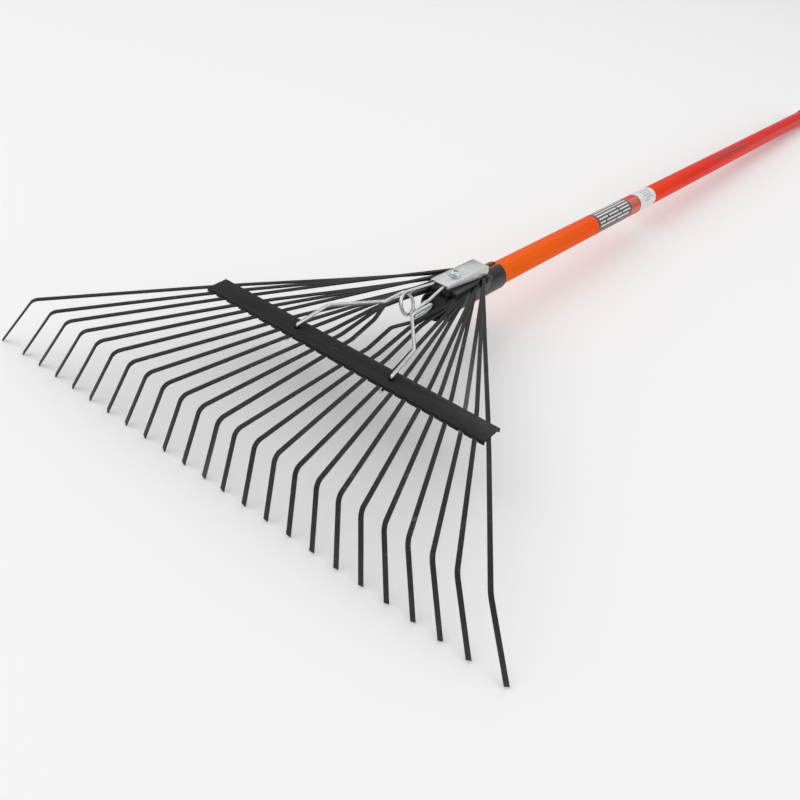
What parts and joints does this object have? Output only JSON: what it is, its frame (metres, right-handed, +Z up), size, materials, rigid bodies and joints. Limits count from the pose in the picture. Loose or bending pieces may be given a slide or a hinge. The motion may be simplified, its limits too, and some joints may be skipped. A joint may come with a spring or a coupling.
{
  "type": "leaf rake",
  "caption": "Leaf rake: fan of flat spring-steel tines with turned-down tips, slotted spreader bar, coiled wire brace, bolted clamp and long round handle.",
  "frame": {"origin": "bottom centre of the rake's box, with the rake lying on its tine tips and its end cap", "axes": "+X along the rake towards the grip end, +Y to the left of the fan seen from the grip end looking at the tips, +Z up, away from the tips"},
  "size_m": [1.8682, 0.606, 0.0944],
  "materials": {
    "tine_steel": "satin black paint on flat spring steel",
    "bar_paint": "satin black paint on folded sheet steel",
    "socket_paint": "semi-gloss black paint on rolled steel",
    "zinc_wire": "bright zinc-plated spring wire",
    "zinc_plate": "bright zinc-plated sheet steel",
    "zinc_fastener": "clear-chromated zinc plating",
    "handle_orange": "orange gel coat over glass fibre",
    "plug_black": "moulded black plastic",
    "cap_black": "soft black vinyl"
  },
  "bodies": {
    "root": {"brace_left": "zinc_wire", "brace_right": "zinc_wire", "clamp_bolt": "zinc_fastener", "clamp_plate": "zinc_plate", "end_cap": "cap_black", "handle_plug": "plug_black", "handle_socket": "socket_paint", "handle_tube": "handle_orange", "head_washer": "zinc_fastener", "lock_nut": "zinc_fastener", "nut_washer": "zinc_fastener", "spreader_bar": "bar_paint", "spreader_strip": "bar_paint", "tine_01": "tine_steel", "tine_02": "tine_steel", "tine_03": "tine_steel", "tine_04": "tine_steel", "tine_05": "tine_steel", "tine_06": "tine_steel", "tine_07": "tine_steel", "tine_08": "tine_steel", "tine_09": "tine_steel", "tine_10": "tine_steel", "tine_11": "tine_steel", "tine_12": "tine_steel", "tine_13": "tine_steel", "tine_14": "tine_steel", "tine_15": "tine_steel", "tine_16": "tine_steel", "tine_17": "tine_steel", "tine_18": "tine_steel", "tine_19": "tine_steel", "tine_20": "tine_steel", "tine_21": "tine_steel", "tine_22": "tine_steel", "tine_23": "tine_steel", "tine_24": "tine_steel", "tine_cap": "socket_paint"}
  },
  "joints": []
}
